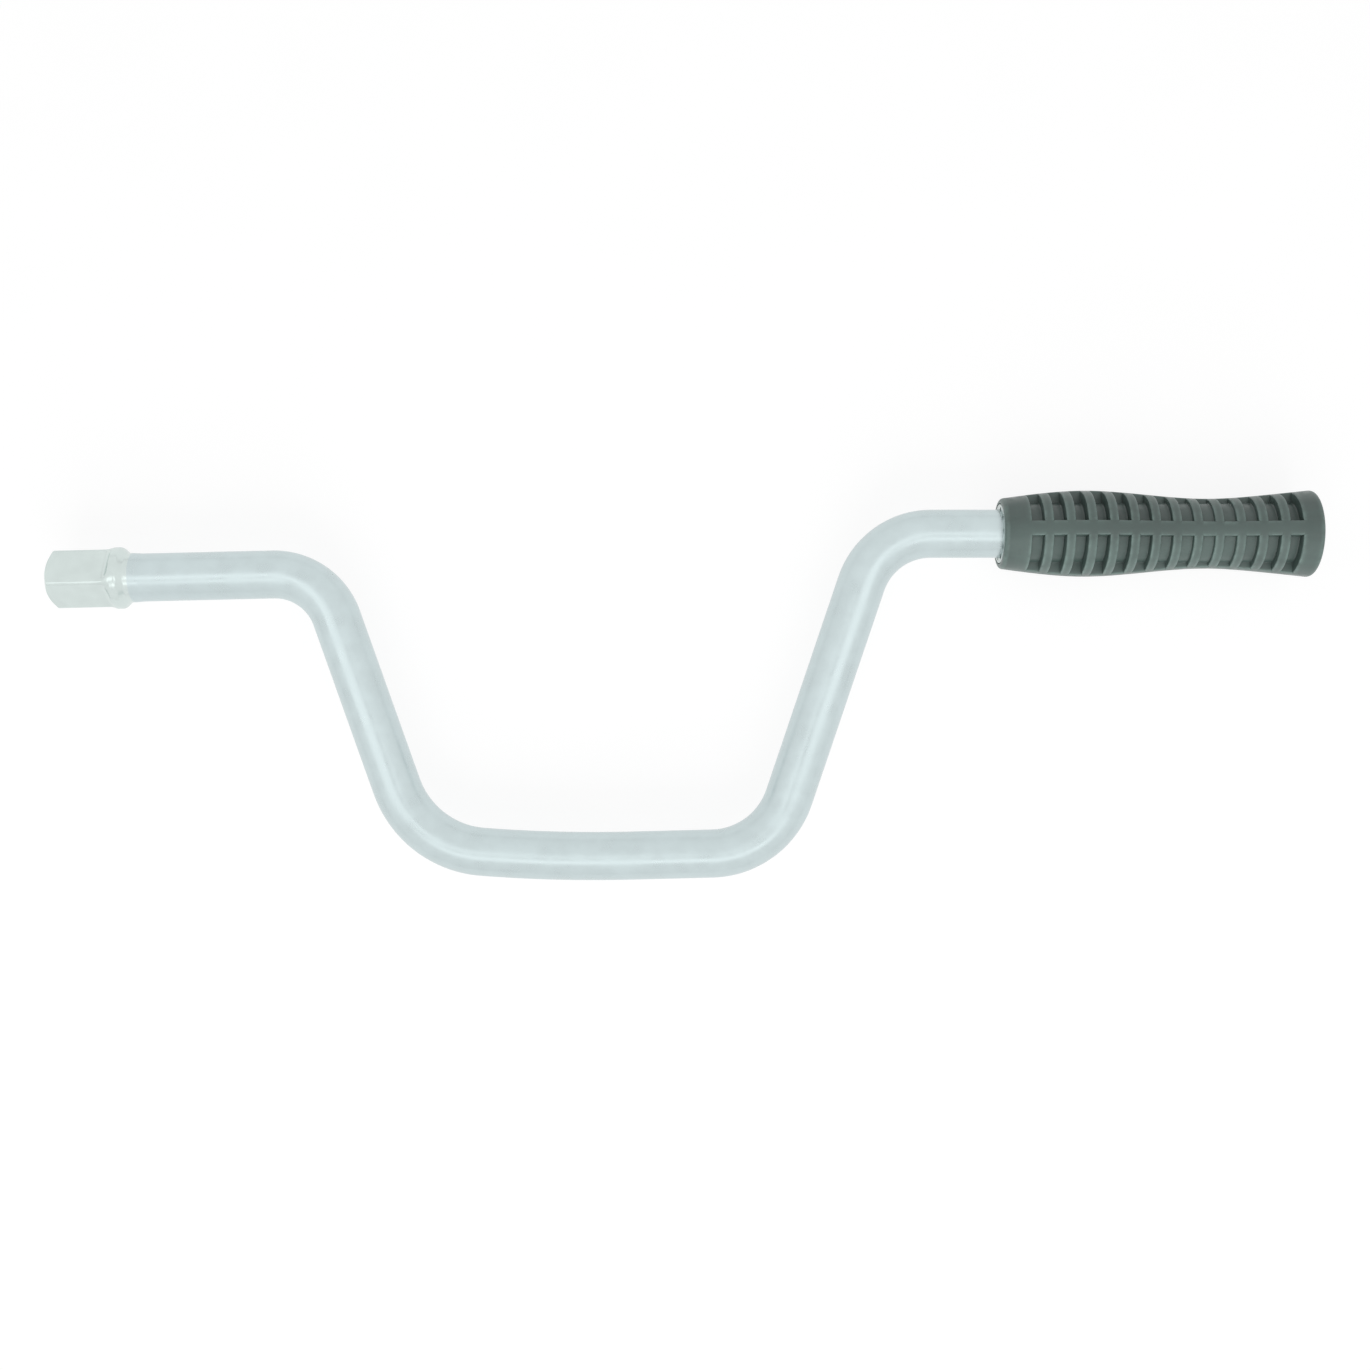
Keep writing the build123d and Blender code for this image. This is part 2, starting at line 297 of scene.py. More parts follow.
def smooth_curve(knots, values, at):
    """Natural cubic spline through (knots, values)."""
    knots, values = np.array(knots, float), np.array(values, float)
    gaps, slopes = np.diff(knots), np.diff(values) / np.diff(knots)
    count = len(knots)
    matrix, right = np.eye(count), np.zeros(count)
    for row in range(1, count - 1):
        matrix[row, row - 1 : row + 2] = gaps[row - 1], 2 * (gaps[row - 1] + gaps[row]), gaps[row]
        right[row] = 6 * (slopes[row] - slopes[row - 1])
    bend = np.linalg.solve(matrix, right)
    at = np.asarray(at, float)
    span = np.clip(np.searchsorted(knots, at) - 1, 0, count - 2)
    ahead, behind, gap = knots[span + 1] - at, at - knots[span], gaps[span]
    return (
        (bend[span] * ahead**3 + bend[span + 1] * behind**3) / (6 * gap)
        + (values[span] / gap - bend[span] * gap / 6) * ahead
        + (values[span + 1] / gap - bend[span + 1] * gap / 6) * behind
    )


def soft_minimum(first, second, softness):
    """The smaller of two surfaces, with a rounded edge where they cross."""
    blend = np.clip(0.5 + 0.5 * (second - first) / softness, 0, 1)
    return second * (1 - blend) + first * blend - softness * blend * (1 - blend)


# ---- meshes ---------------------------------------------------------------------------------------
def ring(centre, heading, radii, angles):
    """Points round an axis through centre. Angles run from up towards the heading's left."""
    left = np.cross(UP, heading)
    radii, angles = np.broadcast_arrays(np.asarray(radii, float), angles)
    return (
        centre
        + radii[:, None] * np.cos(angles)[:, None] * UP
        + radii[:, None] * np.sin(angles)[:, None] * left
    )


def skin(name, rings, closed=False, smooth_angle=radians(38)):
    """A piece made of quads between rings of points. Open ends close to their own middle."""
    rings = [np.asarray(points, float) for points in rings]
    around, count = len(rings[0]), len(rings)
    points = np.concatenate(rings)
    faces = [
        (k * around + i, k * around + (i + 1) % around, l * around + (i + 1) % around, l * around + i)
        for k, l in [(k, (k + 1) % count) for k in range(count if closed else count - 1)]
        for i in range(around)
    ]
    if not closed:
        points = np.concatenate([points, [rings[0].mean(0), rings[-1].mean(0)]])
        first, last = len(points) - 2, len(points) - 1
        top = (count - 1) * around
        faces += [(first, (i + 1) % around, i) for i in range(around)]
        faces += [(last, top + i, top + (i + 1) % around) for i in range(around)]
    mesh = bpy.data.meshes.new(name)
    mesh.from_pydata(points.tolist(), [], faces)
    return finished(name, mesh, smooth_angle)


def finished(name, mesh, smooth_angle):
    """Clean normals and shading, and an object that holds the mesh."""
    shape = bmesh.new()
    shape.from_mesh(mesh)
    bmesh.ops.remove_doubles(shape, verts=shape.verts, dist=1e-7)
    bmesh.ops.recalc_face_normals(shape, faces=shape.faces)
    shape.to_mesh(mesh)
    shape.free()
    mesh.shade_smooth()
    mesh.set_sharp_from_angle(angle=smooth_angle)
    piece = bpy.data.objects.new(name, mesh)
    bpy.context.scene.collection.objects.link(piece)
    return piece


def seat(piece, body, slot, *nodes):
    """The piece rides on its body and stands for its solids. The slot argument is not used."""
    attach(piece, body)
    if nodes:
        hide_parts(*nodes)
    return piece


def dress(piece, *materials):
    """The piece gets these materials in place of any it has."""
    piece.data.materials.clear()
    for material in materials:
        piece.data.materials.append(material)


def settings(name):
    """The scene's PropertyGroup of that name."""
    return getattr(bpy.context.scene, name)


# ---- finishes -------------------------------------------------------------------------------------
class Finish:
    """A procedural material, built node by node round one Principled shader."""

    def __init__(self, name):
        self.material = bpy.data.materials.new(name)
        self.material.use_nodes = True
        self.tree = self.material.node_tree
        self.shader = self.tree.nodes["Principled BSDF"]
        self.place = self.add("TexCoord").outputs["Object"]

    def add(self, kind, sockets=None, **choices):
        """A node with its choices set and its sockets given a value or a link."""
        node = self.tree.nodes.new("ShaderNode" + kind)
        for choice, value in choices.items():
            setattr(node, choice, value)
        self.fill(node, sockets or {})
        return node

    def fill(self, node, sockets):
        """Sets or links a node's sockets."""
        for socket, value in sockets.items():
            if isinstance(value, bpy.types.NodeSocket):
                self.tree.links.new(value, node.inputs[socket])
            else:
                node.inputs[socket].default_value = value

    def grain(self, size, detail=2.0, stretch=(1.0, 1.0, 1.0)):
        """Noise whose lumps are about size metres across, longer where stretch is small."""
        place = self.add("Mapping", {"Vector": self.place, "Scale": stretch}).outputs["Vector"]
        return self.add("TexNoise", {"Vector": place, "Scale": 1 / size, "Detail": detail}).outputs["Fac"]

    def spread(self, source, low, high, start=0.35, end=0.65):
        """source from start to end, spread over low to high."""
        sockets = {"Value": source, "From Min": start, "From Max": end, "To Min": low, "To Max": high}
        return self.add("MapRange", sockets).outputs["Result"]

    def blend(self, share, first, second, linked=False):
        """A colour from first to second by share. A linked first is another node's colour."""
        mix = self.add("Mix", data_type="RGBA")
        start = first if linked else (*first, 1.0)
        self.fill(mix, {0: share, MIX_FIRST: start, MIX_SECOND: (*second, 1.0)})
        return mix.outputs[MIX_RESULT]

    def bumps(self, *layers):
        """Layers of (height, distance in metres) on top of each other."""
        normal = None
        for height, distance in layers:
            bump = self.add("Bump", {"Height": height, "Distance": distance, "Strength": 1.0})
            if normal:
                self.fill(bump, {"Normal": normal})
            normal = bump.outputs["Normal"]
        return normal


def plated_steel(name, tint, roughness, unevenness, polish_lines, spread=0.05):
    """Plated steel: faint lumps left by forging or bending, fine polishing grain and a little haze."""
    finish = Finish(name)
    lumps = finish.grain(0.014, detail=1.0)
    haze = finish.grain(0.006, detail=3.0)
    grain = finish.grain(0.0005, detail=2.0, stretch=polish_lines)
    shade = [channel * 0.93 for channel in tint]
    finish.fill(
        finish.shader,
        {
            "Base Color": finish.blend(finish.spread(haze, 0.0, 1.0), shade, tint),
            "Metallic": 1.0,
            "Roughness": finish.spread(haze, roughness - spread, roughness + spread),
            "Normal": finish.bumps((lumps, unevenness), (grain, 0.000004)),
        },
    )
    return finish.material


def moulded_plastic(name, tint, roughness):
    """Moulded plastic: mould grain, flow marks and patchy rubbing; convex edges painted paler, partly as wear and
    partly as a painted highlight; creases darkened with painted shade.
    """
    finish = Finish(name)
    flow = finish.grain(0.012, detail=3.0, stretch=(0.5, 1.0, 1.0))
    grain = finish.grain(0.00035, detail=2.0)
    rub = finish.grain(0.0022, detail=5.0)
    pointed = finish.add("NewGeometry").outputs["Pointiness"]
    light = [min(1.0, channel * 1.3) for channel in tint]  # paler flow marks
    pale_edge_wear_and_highlight = [min(1.0, channel * 2.6 + 0.03) for channel in tint]  # edges painted pale: partly wear, partly painted highlight
    crease_shade = [channel * 0.55 for channel in tint]  # painted shade in the creases
    body = finish.blend(finish.spread(flow, 0.0, 1.0), tint, light)
    # Painted highlight and wear: convex edges (high pointiness), broken up by the rub noise, are painted paler.
    pale_edge_share = finish.add(
        "Math",
        {0: finish.spread(pointed, 0.0, 0.8, start=0.503, end=0.53), 1: finish.spread(rub, 0.35, 1.0)},
        operation="MULTIPLY",
    )
    with_pale_edges = finish.blend(pale_edge_share.outputs["Value"], body, pale_edge_wear_and_highlight, linked=True)
    # Painted shade: creases (low pointiness) are darkened towards a darker copy of the tint.
    with_crease_shade = finish.blend(finish.spread(pointed, 0.7, 0.0, start=0.46, end=0.497), with_pale_edges, crease_shade, linked=True)
    finish.fill(
        finish.shader,
        {
            "Base Color": with_crease_shade,
            "Roughness": finish.spread(rub, roughness - 0.08, roughness + 0.08),
            "Specular IOR Level": 0.75,
            "Normal": finish.bumps((flow, 0.00006), (grain, 0.000015)),
        },
    )
    return finish.material


# ---- operators ------------------------------------------------------------------------------------
class CRANK_OT_bar(bpy.types.Operator):
    """Build the bent bar with its square drive head"""

    bl_idname = "crank.bar"
    bl_label = "Crank Bar"

    def execute(self, context):
        sizes, head = settings("crank_bar_sizes"), settings("crank_head_sizes")
        bar_radius = sizes.diameter / 2
        turns = self.angles_round_square(head)

        rings = []
        for along, radius in self.head_outline(head, bar_radius):
            radii = self.square_cut(head, along, radius, turns)
            rings.append(ring(np.array((along, 0, 0)), np.array((1.0, 0, 0)), radii, turns))

        start = np.array((0.0, 0.0))
        drive = start + (sizes.drive_run, 0.0)
        near = drive + (sizes.near_leg_lean, -sizes.near_leg_drop)
        far = near + (sizes.web_run, -sizes.web_fall)
        web = (far - near) / np.linalg.norm(far - near)
        bow = near + (far - near) * sizes.web_bow_at + np.array((web[1], -web[0])) * sizes.web_bow
        grip = GRIP_FRONT[:2] - GRIP_DIRECTION[:2] * sizes.grip_arm
        corners = (start, drive, near, bow, far, grip, GRIP_FRONT[:2])
        bends = (
            sizes.drive_bend,
            sizes.near_web_bend,
            sizes.web_bow_radius,
            sizes.far_web_bend,
            sizes.grip_bend,
        )
        for place, heading in zip(*rounded(corners, bends, steps=26)):
            if place[0] > head.flare_end:
                rings.append(ring(np.append(place, 0), np.append(heading, 0), bar_radius, turns))

        end = sizes.tail_in_grip
        groove = end - sizes.groove_back
        tail = (
            (groove - sizes.groove_width, bar_radius),
            (groove - sizes.groove_width, bar_radius - sizes.groove_depth),
            (groove, bar_radius - sizes.groove_depth),
            (groove, bar_radius),
            (end - sizes.end_chamfer, bar_radius),
            (end, bar_radius - sizes.end_chamfer),
        )
        for along, radius in tail:
            rings.append(ring(GRIP_FRONT + GRIP_DIRECTION * along, GRIP_DIRECTION, radius, turns))

        bar = skin("bent_bar", rings)
        self.drill_ball_hole(head, bar)
        finishes = settings("crank_finishes")
        dress(
            bar,
            plated_steel("satin_chrome", finishes.bar_tint, finishes.bar_roughness, 0.00012, EVEN),
            plated_steel("bright_chrome", finishes.head_tint, finishes.head_roughness, 0.00006, EVEN),
        )
        for face in bar.data.polygons:
            face.material_index = int(face.center.x < head.bright_end)
        seat(bar, "crank", "bar_steel", "crank_bar")
        return {"FINISHED"}

    @staticmethod
    def angles_round_square(head):
        """Angles round the bar, close together where the flats meet the rounded corners."""
        margin = 4  # degrees of each flat that belong to its corners
        half_flat = degrees(np.arccos(head.flats / head.corners))
        flat = np.linspace(-half_flat + margin, half_flat - margin, 25)
        corner = np.linspace(half_flat - margin, 90 + margin - half_flat, 27)[1:-1]
        quarter = np.concatenate([flat, corner])
        return np.radians(np.concatenate([quarter + 90 * k for k in range(4)])) + head.turn

    @staticmethod
    def head_outline(head, bar_radius):
        """(along, radius) of the turned blank, from the middle of the tip to the bar behind the collar."""
        crest, soft = head.collar_diameter / 2, head.collar_round
        outline, _ = rounded(
            (
                (-head.reach, AXIS_START),
                (-head.reach, head.tip_diameter / 2),
                (head.tip_taper - head.reach, head.corners / 2),
                (-head.collar_lead, head.corners / 2),
                (head.collar_crest, crest),
                (head.collar_crest + head.crest_width, crest),
                (head.collar_back, bar_radius + head.flare),
                (head.flare_end, bar_radius),
                (head.flare_end + 0.002, bar_radius),
            ),
            (head.tip_round, head.tip_round, 2 * soft, 2 * soft, soft, 0.5 * soft, 3 * soft),
        )
        return subdivided(outline, 0.00022)

    @staticmethod
    def square_cut(head, along, radius, turns):
        """Radii of the blank once the four flats, and the scoops that end them, are cut."""
        run = min(max(along + head.scoop_start, 0.0), head.scoop)
        depth = head.flats / 2 + head.scoop - sqrt(head.scoop**2 - run**2)
        if along + head.scoop_start > head.scoop:
            return np.full(len(turns), radius)
        off_flat = (turns - head.turn + pi / 4) % (pi / 2) - pi / 4
        softness = min(head.edge, radius)
        return soft_minimum(np.full(len(turns), radius), depth / np.cos(off_flat), softness)

    @staticmethod
    def drill_ball_hole(head, bar):
        """Cuts the blind hole for the ball, with its staked mouth."""
        outward = -PRESS_DIRECTION
        foot = BALL_CENTRE - outward * float(BALL_CENTRE @ outward)
        flat = head.flats / 2
        outline = (
            (flat - head.hole_depth, head.hole_radius),
            (flat - head.hole_lip_depth, head.hole_radius),
            (flat - 0.0001, head.hole_lip),
            (flat, head.hole_lip + 0.00006),
            (flat + 0.003, head.hole_lip + 0.00306),
        )
        side = np.array((1.0, 0.0, 0.0))
        across = np.cross(outward, side)
        spins = np.linspace(0, 2 * pi, 64, endpoint=False)
        circle = np.outer(np.cos(spins), side) + np.outer(np.sin(spins), across)
        rings = [
            foot + outward * height + radius * circle
            for height, radius in outline
        ]
        drill = skin("drill", rings)
        cut = bar.modifiers.new("ball_hole", "BOOLEAN")
        cut.object, cut.operation, cut.solver = drill, "DIFFERENCE", "EXACT"
        mesh = bpy.data.meshes.new_from_object(bar.evaluated_get(bpy.context.evaluated_depsgraph_get()))
        bar.modifiers.clear()
        bar.data = mesh
        bpy.data.objects.remove(drill)


class CRANK_OT_grip(bpy.types.Operator):
    """Build the slotted grip"""

    bl_idname = "crank.grip"
    bl_label = "Slotted Grip"

    def execute(self, context):
        sizes, finishes = settings("crank_grip_sizes"), settings("crank_finishes")
        stations = self.front_stations(sizes)
        for row in range(sizes.slots):
            stations += self.slot_stations(sizes, sizes.slot_start + row * sizes.slot_pitch)
        stations += self.back_stations(sizes, stations[-1][0])
        rings = []
        for along, outside, level in stations:
            turns, radii = self.slotted_section(sizes, outside)
            radii = np.maximum(radii, level) if level < outside else np.full(len(turns), outside)
            rings.append(ring(GRIP_FRONT + GRIP_DIRECTION * along, GRIP_DIRECTION, radii, turns))
        turns, _ = self.slotted_section(sizes, sizes.waist / 2)
        for along, radius in self.inner_outline(sizes):
            rings.append(ring(GRIP_FRONT + GRIP_DIRECTION * along, GRIP_DIRECTION, radius, turns))
        grip = skin("slotted_grip", rings, closed=True)
        dress(grip, moulded_plastic("grip_plastic", finishes.grip_tint, finishes.grip_roughness))
        seat(grip, "turning_grip", "grip_plastic", "grip")
        return {"FINISHED"}

    @staticmethod
    def outside(sizes, along):
        """Radius of the grip's waisted outside."""
        knots = (
            sizes.front_edge,
            sizes.belly_at,
            sizes.waist_at,
            sizes.span - sizes.flare_lead,
            sizes.span - sizes.back_round,
        )
        diameters = (sizes.front, sizes.belly, sizes.waist, sizes.flare_lead_diameter, sizes.flare)
        return float(smooth_curve(knots, np.array(diameters) / 2, along))

    def front_stations(self, sizes):
        """(along, radius, level) from the ring recess over the eased front edge to the first slot."""
        lip, radius = sizes.recess + sizes.front_lip, sizes.front / 2
        stations = [(0.0, lip, lip)]
        for step in np.linspace(0, 1, 9)[1:]:
            stations.append((step**2 * sizes.front_edge, radius - (1 - step) ** 2 * (radius - lip), 1.0))
        for along in np.arange(sizes.front_edge + 0.001, sizes.slot_start - sizes.edge, 0.001):
            stations.append((along, self.outside(sizes, along), 1.0))
        return stations

    def slot_stations(self, sizes, front):
        """One row of slots: rounded edge, wall, rounded foot and floor, and the same again backwards."""
        core, edge, foot = sizes.core / 2, sizes.edge, sizes.floor_round
        half, middle = sizes.slot_width / 2, front + sizes.slot_width / 2
        into = []
        for swing in np.radians((0, 25, 50, 75, 90)):
            radius = self.outside(sizes, front)
            into.append((half + edge * (1 - sin(swing)), -edge * (1 - cos(swing)), radius))
        for swing in np.radians((0, 30, 60, 90)):
            into.append((half - foot * (1 - cos(swing)), foot * (1 - sin(swing)), core))
        into.append((half / 2, 0.0, core))
        stations = []
        for side, steps in ((-1, into), (1, reversed(into))):
            for off, rise, base in steps:
                along = middle + side * off
                outside = self.outside(sizes, along)
                level = core + rise if base == core else outside + rise
                stations.append((along, outside, level if rise or base == core else 1.0))
        after = front + sizes.slot_width + sizes.edge
        between = sizes.slot_pitch - sizes.slot_width - 2 * sizes.edge
        for share in (1 / 3, 2 / 3):
            along = after + between * share
            stations.append((along, self.outside(sizes, along), 1.0))
        return stations

    def back_stations(self, sizes, start):
        """From the last slot over the back band and round its back edge."""
        stop, radius = sizes.span - sizes.back_round, sizes.flare / 2
        stations = [
            (along, self.outside(sizes, along), 1.0) for along in np.linspace(start, stop, 8)[1:]
        ]
        for step in np.linspace(0, 1, 9)[1:]:
            along = stop + sizes.back_round * (2 * step - step**2)
            stations.append((along, radius - sizes.back_round * step**2, 1.0))
        return stations

    @staticmethod
    def inner_outline(sizes):
        """From the back edge through the plug seat, the pocket and the bore to the ring recess."""
        return (
            (sizes.span, sizes.plug_radius),
            (sizes.plug_seat, sizes.plug_radius),
            (sizes.plug_seat, sizes.pocket),
            (sizes.pocket_floor, sizes.pocket),
            (sizes.pocket_floor, sizes.bore),
            (sizes.recess_depth, sizes.bore),
            (sizes.recess_depth, sizes.recess),
            (0.0, sizes.recess),
        )

    @staticmethod
    def slotted_section(sizes, outside):
        """Angles and radii of the section through a slot row: ribs with straight sides round the core."""
        half, core, edge, foot = sizes.rib_width / 2, sizes.core / 2, sizes.edge, sizes.floor_round
        top = np.array((sqrt((outside - edge) ** 2 - (half - edge) ** 2), half - edge))
        toe = np.array((sqrt((core + foot) ** 2 - (half + foot) ** 2), half + foot))
        crown = atan2(top[1], top[0])
        heel = atan2(toe[1], toe[0])
        points = [(outside * cos(turn), outside * sin(turn)) for turn in np.linspace(0, crown, 4)]
        for swing in np.linspace(crown, pi / 2, 6)[1:]:
            points.append((top[0] + edge * cos(swing), top[1] + edge * sin(swing)))
        for swing in np.linspace(-pi / 2, heel - pi, 5):
            points.append((toe[0] + foot * cos(swing), toe[1] + foot * sin(swing)))
        points += [(core * cos(turn), core * sin(turn)) for turn in np.linspace(heel, pi / 4, 8)[1:]]
        points = np.array(points)
        turns, radii = np.arctan2(points[:, 1], points[:, 0]), np.hypot(points[:, 0], points[:, 1])
        turns = np.concatenate([-turns[:0:-1], turns[:-1]])
        radii = np.concatenate([radii[:0:-1], radii[:-1]])
        spacing = 2 * pi / sizes.ribs
        stretch = spacing / (pi / 2)
        every = [turns * stretch + sizes.rib_turn + spacing * rib for rib in range(sizes.ribs)]
        return np.concatenate(every), np.tile(radii, sizes.ribs)


class CRANK_OT_retainers(bpy.types.Operator):
    """Build the toothed ring in front of the grip and the plug behind it"""

    bl_idname = "crank.retainers"
    bl_label = "Front Ring and End Plug"

    def execute(self, context):
        sizes, finishes = settings("crank_retainer_sizes"), settings("crank_finishes")
        bar_radius = settings("crank_bar_sizes").diameter / 2
        inner = bar_radius + sizes.ring_bite
        turns, mouth = self.toothed_mouth(sizes, inner, bar_radius + sizes.notch_depth)
        outer, edge, thick = sizes.ring / 2, sizes.ring_edge, sizes.ring_thickness
        outline = [
            (0.0, mouth + edge),
            (0.0, (mouth + outer) / 2),
            (0.0, outer - edge),
            (edge * 0.3, outer - edge * 0.3),
            (edge, outer),
            (thick - edge, outer),
            (thick, outer - edge),
            (thick, mouth + edge),
            (thick - edge, mouth),
            (edge, mouth),
            (edge * 0.3, mouth + edge * 0.3),
        ]
        rings = [
            ring(GRIP_FRONT + GRIP_DIRECTION * along, GRIP_DIRECTION, radii, turns)
            for along, radii in outline
        ]
        toothed = skin("toothed_ring", rings, closed=True)
        dress(toothed, plated_steel("ring_plating", finishes.ring_tint, 0.34, 0.00003, EVEN))
        seat(toothed, "crank", "ring_steel", "front_retaining_ring")

        grip = settings("crank_grip_sizes")
        radius, edge = grip.plug_radius - sizes.plug_clearance, sizes.plug_edge
        outline, _ = rounded(
            (
                (grip.plug_seat, 0.0002),
                (grip.plug_seat, radius),
                (grip.plug_seat + sizes.plug_thickness, radius),
                (grip.plug_seat + sizes.plug_thickness, 0.0002),
            ),
            (edge * 0.3, edge),
        )
        spins = np.linspace(0, 2 * pi, 96, endpoint=False)
        rings = [
            ring(GRIP_FRONT + GRIP_DIRECTION * along, GRIP_DIRECTION, radius, spins)
            for along, radius in outline
        ]
        plug = skin("closing_plug", rings)
        dress(plug, moulded_plastic("plug_plastic", finishes.grip_tint, finishes.grip_roughness - 0.05))
        seat(plug, "turning_grip", "plug_plastic", "end_plug")
        return {"FINISHED"}

    @staticmethod
    def toothed_mouth(sizes, inner, root):
        """Angles and radii of the ring's mouth: teeth on the bar, square notches between them."""
        half = sizes.notch_width / 2
        wall = [(sqrt(radius**2 - half**2), half) for radius in (root, inner)]
        points = [(wall[0][0], v) for v in np.linspace(0, half, 5)[:-1]]
        points += wall
        start, stop = atan2(wall[1][1], wall[1][0]), pi / sizes.ring_teeth
        points += [(inner * cos(turn), inner * sin(turn)) for turn in np.linspace(start, stop, 6)[1:]]
        points = np.array(points)
        turns, radii = np.arctan2(points[:, 1], points[:, 0]), np.hypot(points[:, 0], points[:, 1])
        turns = np.concatenate([-turns[:0:-1], turns[:-1]])
        radii = np.concatenate([radii[:0:-1], radii[:-1]])
        every = [turns + 2 * pi * tooth / sizes.ring_teeth for tooth in range(sizes.ring_teeth)]
        return np.concatenate(every), np.tile(radii, sizes.ring_teeth)


class CRANK_OT_ball(bpy.types.Operator):
    """Build the detent ball"""

    bl_idname = "crank.ball"
    bl_label = "Detent Ball"

    TINT = (0.74, 0.76, 0.77)

    def execute(self, context):
        radius = settings("crank_head_sizes").ball_radius
        shape = bmesh.new()
        bmesh.ops.create_icosphere(shape, subdivisions=5, radius=radius)
        bmesh.ops.translate(shape, verts=shape.verts, vec=Vector(BALL_CENTRE))
        mesh = bpy.data.meshes.new("steel_ball")
        shape.to_mesh(mesh)
        shape.free()
        ball = finished("steel_ball", mesh, pi)
        dress(ball, plated_steel("polished_ball", self.TINT, 0.09, 0.00001, EVEN, spread=0.03))
        seat(ball, "ball", "ball_steel", "detent_ball")
        return {"FINISHED"}


class CRANK_OT_inner_steel(bpy.types.Operator):
    """Finish the spring, the washer and the clip"""

    bl_idname = "crank.inner_steel"
    bl_label = "Inner Steel Parts"

    def execute(self, context):
        tint = settings("crank_finishes").inner_tint
        darker = [channel * 0.8 for channel in tint]
        drawn = plated_steel("spring_steel", darker, 0.36, 0.00001, (1, 1, 0.2))
        punched = plated_steel("washer_steel", tint, 0.40, 0.00002, EVEN)
        dress(frame["nodes"]["detent_spring"], drawn)
        dress(frame["nodes"]["retaining_clip"], drawn)
        dress(frame["nodes"]["thrust_washer"], punched)
        return {"FINISHED"}


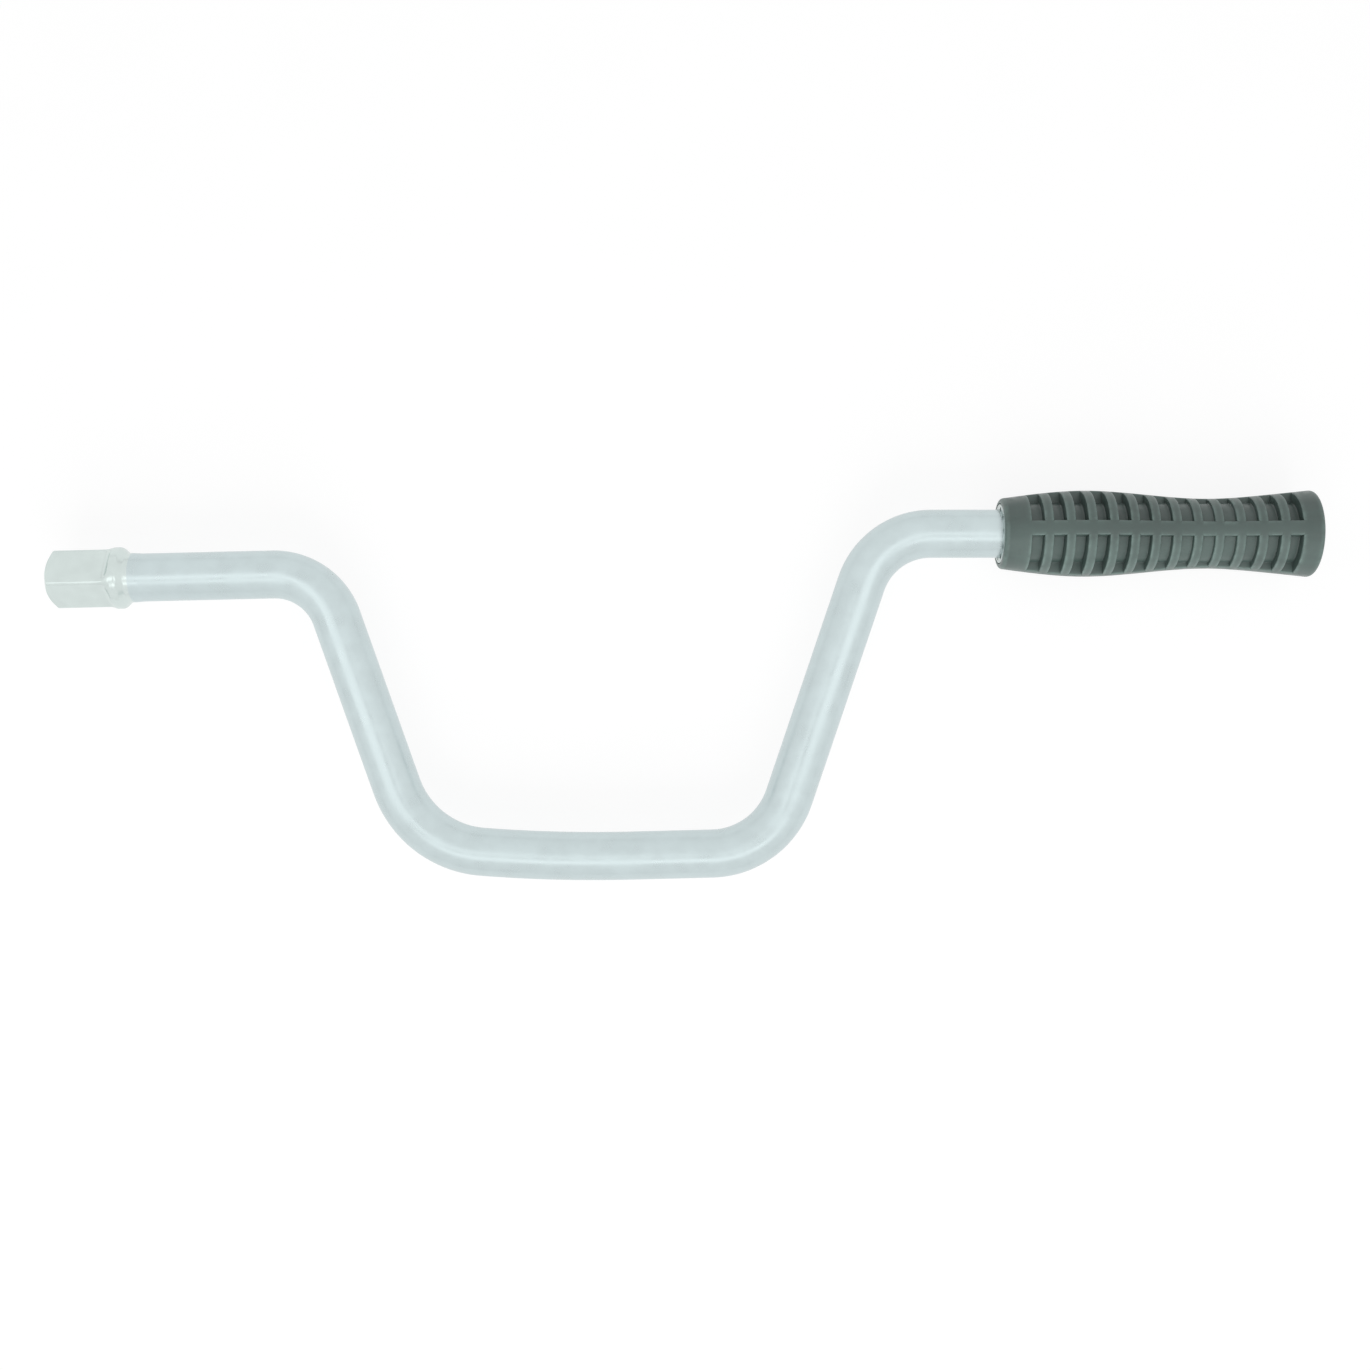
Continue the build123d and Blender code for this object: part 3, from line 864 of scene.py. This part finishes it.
class CRANK_OT_studio(bpy.types.Operator):
    """Set up the floor, the surround, the lamps and the camera"""

    bl_idname = "crank.studio"
    bl_label = "Studio"

    WHITE_SHARE = 0.80  # how much of the floor's own shading gives way to plain white
    HORIZON = 0.10  # height of the dim band where the surround meets the floor
    HORIZON_LEVEL = 0.80
    WHITE_LEVEL = 1.08
    FLOOR_REACH = 4.0
    SOFTBOX_LEVEL = 0.40
    SOFTBOX_HEIGHT = 1.15

    def execute(self, context):
        studio = settings("crank_studio")
        scene = context.scene
        scene.view_settings.view_transform = "Standard"
        low, high = CAD_BOX
        middle = (Vector(low) + Vector(high)) / 2

        mesh = bpy.data.meshes.new("studio_floor")
        corners = [
            (x * self.FLOOR_REACH + middle.x, y * self.FLOOR_REACH + middle.y, low[2])
            for x, y in ((-1, -1), (1, -1), (1, 1), (-1, 1))
        ]
        mesh.from_pydata(corners, [], [(0, 1, 2, 3)])
        floor = bpy.data.objects.new("studio_floor", mesh)
        scene.collection.objects.link(floor)
        floor.data.materials.append(self.floor_material(studio.floor_tone))

        self.light_surround(scene, studio.world_level)
        fill = self.lamp("near_fill", (middle.x, middle.y - 1.1, 0.75), (1.2, 0.9), 2.0, middle)
        fill.visible_glossy = False
        for name, side, throw, size in (
            ("near_softbox", 0.0, -0.62, (1.3, 0.30)),
            ("left_softbox", -0.60, -0.10, (0.28, 1.0)),
            ("right_softbox", 0.62, -0.10, (0.28, 1.0)),
        ):
            place = (middle.x + side, middle.y + throw, self.SOFTBOX_HEIGHT)
            self.lamp(name, place, size, self.SOFTBOX_LEVEL, middle)

        camera = bpy.data.objects.new("studio_camera", bpy.data.cameras.new("studio_camera"))
        camera.data.sensor_width = SENSOR
        camera.data.lens = studio.focal
        camera.location = (studio.lens_side, studio.lens_throw, studio.lens_height)
        camera.rotation_euler = (0.0, 0.0, studio.lens_roll)
        scene.collection.objects.link(camera)
        scene.camera = camera
        return {"FINISHED"}

    @staticmethod
    def lamp(name, place, size, level, target):
        """A soft rectangular lamp whose face is about level times as bright as white paper."""
        light = bpy.data.lights.new(name, "AREA")
        light.shape = "RECTANGLE"
        light.size, light.size_y = size
        light.energy = level * 4 * size[0] * size[1]
        lamp = bpy.data.objects.new(name, light)
        lamp.location = place
        lamp.rotation_euler = (Vector(place) - target).to_track_quat("Z", "Y").to_euler()
        bpy.context.scene.collection.objects.link(lamp)
        return lamp

    @staticmethod
    def seen(finish_tree):
        """1 for what the camera, a reflection or a clear piece sees."""
        path = finish_tree.nodes.new("ShaderNodeLightPath")
        total = path.outputs["Is Camera Ray"]
        for name in ("Is Glossy Ray", "Is Transmission Ray"):
            adder = finish_tree.nodes.new("ShaderNodeMath")
            adder.operation, adder.use_clamp = "ADD", True
            finish_tree.links.new(total, adder.inputs[0])
            finish_tree.links.new(path.outputs[name], adder.inputs[1])
            total = adder.outputs["Value"]
        return total

    def floor_material(self, tone):
        """Pale matt sheet that reads as white and still takes a shadow."""
        finish = Finish("studio_floor_sheet")
        speckle = finish.spread(finish.grain(0.03, detail=3.0), tone - 0.01, tone + 0.01)
        sheet = finish.add("CombineColor", {"Red": speckle, "Green": speckle, "Blue": speckle})
        matt = finish.add("BsdfDiffuse", {"Color": sheet.outputs["Color"]})
        white = finish.add("Emission", {"Color": (1.0, 1.0, 1.0, 1.0), "Strength": self.WHITE_LEVEL})
        whiteness = finish.add(
            "Math", {0: self.seen(finish.tree), 1: self.WHITE_SHARE}, operation="MULTIPLY"
        )
        both = finish.add("MixShader", {0: whiteness.outputs["Value"]})
        finish.tree.links.new(matt.outputs[0], both.inputs[1])
        finish.tree.links.new(white.outputs[0], both.inputs[2])
        finish.tree.links.new(both.outputs[0], finish.tree.nodes["Material Output"].inputs["Surface"])
        return finish.material

    def light_surround(self, scene, level):
        """Even light from all round, which shows as white behind and a little dimmer low in the metal."""
        scene.world = bpy.data.worlds.new("white_surround")
        scene.world.use_nodes = True
        tree = scene.world.node_tree
        background = tree.nodes["Background"]
        background.inputs["Color"].default_value = (1.0, 1.0, 1.0, 1.0)
        heading = tree.nodes.new("ShaderNodeSeparateXYZ")
        tree.links.new(tree.nodes.new("ShaderNodeTexCoord").outputs["Generated"], heading.inputs["Vector"])
        band = tree.nodes.new("ShaderNodeMapRange")
        band.interpolation_type = "SMOOTHSTEP"
        band.inputs["From Min"].default_value = 0.4 * self.HORIZON
        band.inputs["From Max"].default_value = self.HORIZON
        band.inputs["To Min"].default_value = self.HORIZON_LEVEL
        tree.links.new(heading.outputs["Z"], band.inputs["Value"])
        path = tree.nodes.new("ShaderNodeLightPath")
        plain = tree.nodes.new("ShaderNodeMath")
        plain.operation = "MAXIMUM"
        tree.links.new(path.outputs["Is Camera Ray"], plain.inputs[0])
        tree.links.new(band.outputs["Result"], plain.inputs[1])
        strength = tree.nodes.new("ShaderNodeMix")
        strength.inputs["A"].default_value = level
        tree.links.new(self.seen(tree), strength.inputs["Factor"])
        tree.links.new(plain.outputs["Value"], strength.inputs["B"])
        tree.links.new(strength.outputs["Result"], background.inputs["Strength"])


OPERATORS = (
    CRANK_OT_bar,
    CRANK_OT_grip,
    CRANK_OT_retainers,
    CRANK_OT_ball,
    CRANK_OT_inner_steel,
    CRANK_OT_studio,
)


class CRANK_PT_panel(bpy.types.Panel):
    """Lists the pieces and their sizes"""

    bl_idname = "CRANK_PT_panel"
    bl_label = "Crank Handle"
    bl_space_type = "VIEW_3D"
    bl_region_type = "UI"
    bl_category = "Crank Handle"

    def draw(self, context):
        for operator in OPERATORS:
            self.layout.operator(operator.bl_idname)
        for name, group in SETTINGS.items():
            box = self.layout.box()
            box.label(text=group.__doc__)
            for field in group.__annotations__:
                box.prop(getattr(context.scene, name), field)


CLASSES = (*SETTINGS.values(), *OPERATORS, CRANK_PT_panel)


def register():
    for piece in CLASSES:
        bpy.utils.register_class(piece)
    for name, group in SETTINGS.items():
        setattr(bpy.types.Scene, name, PointerProperty(type=group))


def unregister():
    for name in SETTINGS:
        delattr(bpy.types.Scene, name)
    for piece in reversed(CLASSES):
        bpy.utils.unregister_class(piece)


def main():
    register()
    bpy.ops.crank.bar()
    bpy.ops.crank.grip()
    bpy.ops.crank.retainers()
    bpy.ops.crank.ball()
    bpy.ops.crank.inner_steel()
    bpy.ops.crank.studio()
    bpy.context.view_layer.update()


if __name__ == "__main__":
    main()
